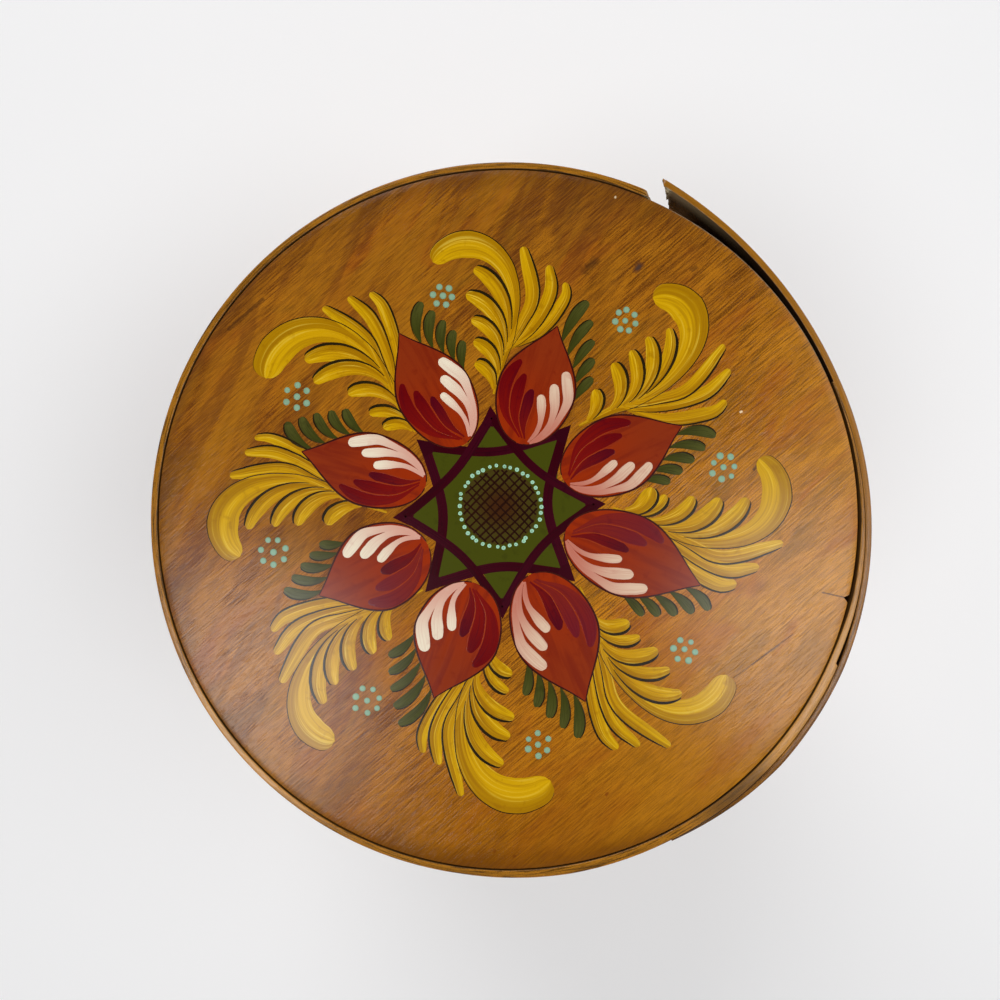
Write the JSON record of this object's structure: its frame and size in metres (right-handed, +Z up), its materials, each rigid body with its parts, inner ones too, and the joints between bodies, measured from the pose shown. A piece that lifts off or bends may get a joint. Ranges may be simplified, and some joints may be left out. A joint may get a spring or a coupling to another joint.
{
  "type": "firkin",
  "caption": "Lidded firkin of tapered wooden staves in bent wooden hoops, with a swinging bail on pegs and a painted lift-off lid in a sprung bentwood hoop.",
  "frame": {"origin": "centre of the foot, on the floor", "axes": "+Z up through the lid, X along the bail's pegs, the bail lowered on the -Y side"},
  "size_m": [0.3166, 0.3235, 0.2876],
  "materials": {
    "stave_wood": "honey stain, satin varnish",
    "hoop_wood": "honey stain, satin varnish",
    "bail_wood": "honey stain, satin varnish",
    "peg_wood": "dark stain, satin",
    "lid_wood": "honey stain, satin varnish, painted",
    "lid_hoop_wood": "honey stain, satin varnish",
    "tack_iron": "dark, dull"
  },
  "bodies": {
    "bucket": {"stave_01": "stave_wood", "stave_02": "stave_wood", "stave_03": "stave_wood", "stave_04": "stave_wood", "stave_05": "stave_wood", "stave_06": "stave_wood", "stave_07": "stave_wood", "stave_08": "stave_wood", "stave_09": "stave_wood", "stave_10": "stave_wood", "stave_11": "stave_wood", "stave_12": "stave_wood", "stave_13": "stave_wood", "stave_14": "stave_wood", "stave_15": "stave_wood", "stave_16": "stave_wood", "bottom_board_left": "stave_wood", "bottom_board_middle": "stave_wood", "bottom_board_right": "stave_wood", "base_hoop": "hoop_wood", "middle_hoop": "hoop_wood", "upper_hoop": "hoop_wood", "base_hoop_tacks": "tack_iron", "middle_hoop_tacks": "tack_iron", "upper_hoop_tacks": "tack_iron", "bail_peg_left": "peg_wood", "bail_peg_right": "peg_wood", "peg_lock_pins": "peg_wood"},
    "bail": {"bail": "bail_wood"},
    "lid": {"lid_board": "lid_wood", "lid_hoop": "lid_hoop_wood", "lid_hoop_lap": "lid_hoop_wood", "lid_brads": "tack_iron", "lid_lap_tacks": "tack_iron"}
  },
  "joints": [
    {"name": "bail_swing", "type": "hinge", "parent": "bucket", "child": "bail", "pos_m": [0, 0, 0.233], "axis": [-1, 0, 0], "range_deg": [0, 240]},
    {"name": "lid_lift", "type": "slide", "parent": "bucket", "child": "lid", "axis": [0, 0, 1], "range_m": [0, 0.15]}
  ]
}
